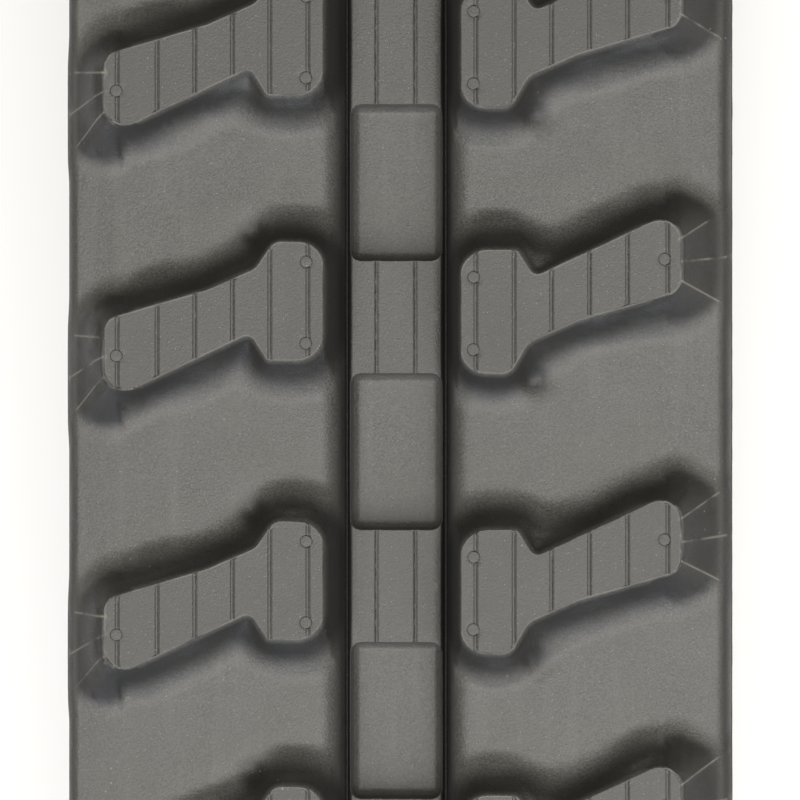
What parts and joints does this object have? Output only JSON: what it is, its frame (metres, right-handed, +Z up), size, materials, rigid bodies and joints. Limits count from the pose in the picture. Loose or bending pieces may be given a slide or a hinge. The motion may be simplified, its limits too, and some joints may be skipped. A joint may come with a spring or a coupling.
{
  "type": "rubber track",
  "caption": "Endless rubber crawler track with staggered Z-shaped lugs, closed sprocket pockets, embedded steel cores with guide horns and steel cord belts.",
  "frame": {"origin": "middle of the loop, on the surface that its bottom lugs stand on", "axes": "X across the track, Y along its straight runs, Z up from the bottom run to the top run"},
  "size_m": [0.18, 0.8828, 0.3067],
  "materials": {
    "rubber": "satin, moulded, with fine sparkle and light dust",
    "cast_steel": "rough cast steel, polished where rollers and sprocket teeth rub",
    "cord_steel": "bright drawn wire"
  },
  "bodies": {
    "link_00": {"rubber_link_00": "rubber", "core_00": "cast_steel", "cord_belt_left": "cord_steel", "cord_belt_right": "cord_steel"},
    "link_01": {"rubber_link_01": "rubber", "core_01": "cast_steel"},
    "link_02": {"rubber_link_02": "rubber", "core_02": "cast_steel"},
    "link_03": {"rubber_link_03": "rubber", "core_03": "cast_steel"},
    "link_04": {"rubber_link_04": "rubber", "core_04": "cast_steel"},
    "link_05": {"rubber_link_05": "rubber", "core_05": "cast_steel"},
    "link_06": {"rubber_link_06": "rubber", "core_06": "cast_steel"},
    "link_07": {"rubber_link_07": "rubber", "core_07": "cast_steel"},
    "link_08": {"rubber_link_08": "rubber", "core_08": "cast_steel"},
    "link_09": {"rubber_link_09": "rubber", "core_09": "cast_steel"},
    "link_10": {"rubber_link_10": "rubber", "core_10": "cast_steel"},
    "link_11": {"rubber_link_11": "rubber", "core_11": "cast_steel"},
    "link_12": {"rubber_link_12": "rubber", "core_12": "cast_steel"},
    "link_13": {"rubber_link_13": "rubber", "core_13": "cast_steel"},
    "link_14": {"rubber_link_14": "rubber", "core_14": "cast_steel"},
    "link_15": {"rubber_link_15": "rubber", "core_15": "cast_steel"},
    "link_16": {"rubber_link_16": "rubber", "core_16": "cast_steel"},
    "link_17": {"rubber_link_17": "rubber", "core_17": "cast_steel"},
    "link_18": {"rubber_link_18": "rubber", "core_18": "cast_steel"},
    "link_19": {"rubber_link_19": "rubber", "core_19": "cast_steel"},
    "link_20": {"rubber_link_20": "rubber", "core_20": "cast_steel"},
    "link_21": {"rubber_link_21": "rubber", "core_21": "cast_steel"},
    "link_22": {"rubber_link_22": "rubber", "core_22": "cast_steel"},
    "link_23": {"rubber_link_23": "rubber", "core_23": "cast_steel"},
    "link_24": {"rubber_link_24": "rubber", "core_24": "cast_steel"},
    "link_25": {"rubber_link_25": "rubber", "core_25": "cast_steel"},
    "link_26": {"rubber_link_26": "rubber", "core_26": "cast_steel"},
    "link_27": {"rubber_link_27": "rubber", "core_27": "cast_steel"}
  },
  "joints": [
    {"name": "flex_00_01", "type": "hinge", "parent": "link_00", "child": "link_01", "pos_m": [0, 0.036, 0.019], "axis": [1, 0, 0], "range_deg": [0, 12.86], "stiffness_Nm_per_rad": 40, "deforming": ["cord_belt_left", "cord_belt_right"]},
    {"name": "flex_01_02", "type": "hinge", "parent": "link_01", "child": "link_02", "pos_m": [0, 0.108, 0.019], "axis": [1, 0, 0], "range_deg": [-0.5, 13.36], "stiffness_Nm_per_rad": 40},
    {"name": "flex_02_03", "type": "hinge", "parent": "link_02", "child": "link_03", "pos_m": [0, 0.18, 0.019], "axis": [1, 0, 0], "range_deg": [-0.5, 13.36], "stiffness_Nm_per_rad": 40},
    {"name": "flex_03_04", "type": "hinge", "parent": "link_03", "child": "link_04", "pos_m": [0, 0.252, 0.019], "axis": [1, 0, 0], "range_deg": [-0.5, 13.36], "stiffness_Nm_per_rad": 40},
    {"name": "flex_04_05", "type": "hinge", "parent": "link_04", "child": "link_05", "pos_m": [0, 0.324, 0.019], "axis": [1, 0, 0], "range_deg": [-17.64, 0.5], "stiffness_Nm_per_rad": 40},
    {"name": "flex_05_06", "type": "hinge", "parent": "link_05", "child": "link_06", "pos_m": [0, 0.38635, 0.055], "axis": [1, 0, 0], "range_deg": [-17.64, 0.5], "stiffness_Nm_per_rad": 40},
    {"name": "flex_06_07", "type": "hinge", "parent": "link_06", "child": "link_07", "pos_m": [0, 0.42235, 0.11735], "axis": [1, 0, 0], "range_deg": [-17.64, 0.5], "stiffness_Nm_per_rad": 40},
    {"name": "flex_07_08", "type": "hinge", "parent": "link_07", "child": "link_08", "pos_m": [0, 0.42235, 0.18935], "axis": [1, 0, 0], "range_deg": [-17.64, 0.5], "stiffness_Nm_per_rad": 40},
    {"name": "flex_08_09", "type": "hinge", "parent": "link_08", "child": "link_09", "pos_m": [0, 0.38635, 0.25171], "axis": [1, 0, 0], "range_deg": [-17.64, 0.5], "stiffness_Nm_per_rad": 40},
    {"name": "flex_09_10", "type": "hinge", "parent": "link_09", "child": "link_10", "pos_m": [0, 0.324, 0.28771], "axis": [1, 0, 0], "range_deg": [-17.64, 0.5], "stiffness_Nm_per_rad": 40},
    {"name": "flex_10_11", "type": "hinge", "parent": "link_10", "child": "link_11", "pos_m": [0, 0.252, 0.28771], "axis": [1, 0, 0], "range_deg": [-0.5, 13.36], "stiffness_Nm_per_rad": 40},
    {"name": "flex_11_12", "type": "hinge", "parent": "link_11", "child": "link_12", "pos_m": [0, 0.18, 0.28771], "axis": [1, 0, 0], "range_deg": [-0.5, 13.36], "stiffness_Nm_per_rad": 40},
    {"name": "flex_12_13", "type": "hinge", "parent": "link_12", "child": "link_13", "pos_m": [0, 0.108, 0.28771], "axis": [1, 0, 0], "range_deg": [-0.5, 13.36], "stiffness_Nm_per_rad": 40},
    {"name": "flex_13_14", "type": "hinge", "parent": "link_13", "child": "link_14", "pos_m": [0, 0.036, 0.28771], "axis": [1, 0, 0], "range_deg": [-0.5, 13.36], "stiffness_Nm_per_rad": 40},
    {"name": "flex_27_00", "type": "hinge", "parent": "link_00", "child": "link_27", "pos_m": [0, -0.036, 0.019], "axis": [1, 0, 0], "range_deg": [-13.36, 0.5], "stiffness_Nm_per_rad": 40},
    {"name": "flex_26_27", "type": "hinge", "parent": "link_27", "child": "link_26", "pos_m": [0, -0.108, 0.019], "axis": [1, 0, 0], "range_deg": [-13.36, 0.5], "stiffness_Nm_per_rad": 40},
    {"name": "flex_25_26", "type": "hinge", "parent": "link_26", "child": "link_25", "pos_m": [0, -0.18, 0.019], "axis": [1, 0, 0], "range_deg": [-13.36, 0.5], "stiffness_Nm_per_rad": 40},
    {"name": "flex_24_25", "type": "hinge", "parent": "link_25", "child": "link_24", "pos_m": [0, -0.252, 0.019], "axis": [1, 0, 0], "range_deg": [-13.36, 0.5], "stiffness_Nm_per_rad": 40},
    {"name": "flex_23_24", "type": "hinge", "parent": "link_24", "child": "link_23", "pos_m": [0, -0.324, 0.019], "axis": [1, 0, 0], "range_deg": [-0.5, 17.64], "stiffness_Nm_per_rad": 40},
    {"name": "flex_22_23", "type": "hinge", "parent": "link_23", "child": "link_22", "pos_m": [0, -0.38635, 0.055], "axis": [1, 0, 0], "range_deg": [-0.5, 17.64], "stiffness_Nm_per_rad": 40},
    {"name": "flex_21_22", "type": "hinge", "parent": "link_22", "child": "link_21", "pos_m": [0, -0.42235, 0.11735], "axis": [1, 0, 0], "range_deg": [-0.5, 17.64], "stiffness_Nm_per_rad": 40},
    {"name": "flex_20_21", "type": "hinge", "parent": "link_21", "child": "link_20", "pos_m": [0, -0.42235, 0.18935], "axis": [1, 0, 0], "range_deg": [-0.5, 17.64], "stiffness_Nm_per_rad": 40},
    {"name": "flex_19_20", "type": "hinge", "parent": "link_20", "child": "link_19", "pos_m": [0, -0.38635, 0.25171], "axis": [1, 0, 0], "range_deg": [-0.5, 17.64], "stiffness_Nm_per_rad": 40},
    {"name": "flex_18_19", "type": "hinge", "parent": "link_19", "child": "link_18", "pos_m": [0, -0.324, 0.28771], "axis": [1, 0, 0], "range_deg": [-0.5, 17.64], "stiffness_Nm_per_rad": 40},
    {"name": "flex_17_18", "type": "hinge", "parent": "link_18", "child": "link_17", "pos_m": [0, -0.252, 0.28771], "axis": [1, 0, 0], "range_deg": [-13.36, 0.5], "stiffness_Nm_per_rad": 40},
    {"name": "flex_16_17", "type": "hinge", "parent": "link_17", "child": "link_16", "pos_m": [0, -0.18, 0.28771], "axis": [1, 0, 0], "range_deg": [-13.36, 0.5], "stiffness_Nm_per_rad": 40},
    {"name": "flex_15_16", "type": "hinge", "parent": "link_16", "child": "link_15", "pos_m": [0, -0.108, 0.28771], "axis": [1, 0, 0], "range_deg": [-13.36, 0.5], "stiffness_Nm_per_rad": 40}
  ],
  "couplings": [
    {"joint": "flex_01_02", "follows": "flex_00_01", "ratio": 1},
    {"joint": "flex_02_03", "follows": "flex_00_01", "ratio": 1},
    {"joint": "flex_03_04", "follows": "flex_00_01", "ratio": 1},
    {"joint": "flex_04_05", "follows": "flex_00_01", "ratio": -1.3333},
    {"joint": "flex_05_06", "follows": "flex_00_01", "ratio": -1.3333},
    {"joint": "flex_06_07", "follows": "flex_00_01", "ratio": -1.3333},
    {"joint": "flex_07_08", "follows": "flex_00_01", "ratio": -1.3333},
    {"joint": "flex_08_09", "follows": "flex_00_01", "ratio": -1.3333},
    {"joint": "flex_09_10", "follows": "flex_00_01", "ratio": -1.3333},
    {"joint": "flex_10_11", "follows": "flex_00_01", "ratio": 1},
    {"joint": "flex_11_12", "follows": "flex_00_01", "ratio": 1},
    {"joint": "flex_12_13", "follows": "flex_00_01", "ratio": 1},
    {"joint": "flex_13_14", "follows": "flex_00_01", "ratio": 1},
    {"joint": "flex_27_00", "follows": "flex_00_01", "ratio": -1},
    {"joint": "flex_26_27", "follows": "flex_00_01", "ratio": -1},
    {"joint": "flex_25_26", "follows": "flex_00_01", "ratio": -1},
    {"joint": "flex_24_25", "follows": "flex_00_01", "ratio": -1},
    {"joint": "flex_23_24", "follows": "flex_00_01", "ratio": 1.3333},
    {"joint": "flex_22_23", "follows": "flex_00_01", "ratio": 1.3333},
    {"joint": "flex_21_22", "follows": "flex_00_01", "ratio": 1.3333},
    {"joint": "flex_20_21", "follows": "flex_00_01", "ratio": 1.3333},
    {"joint": "flex_19_20", "follows": "flex_00_01", "ratio": 1.3333},
    {"joint": "flex_18_19", "follows": "flex_00_01", "ratio": 1.3333},
    {"joint": "flex_17_18", "follows": "flex_00_01", "ratio": -1},
    {"joint": "flex_16_17", "follows": "flex_00_01", "ratio": -1},
    {"joint": "flex_15_16", "follows": "flex_00_01", "ratio": -1}
  ]
}
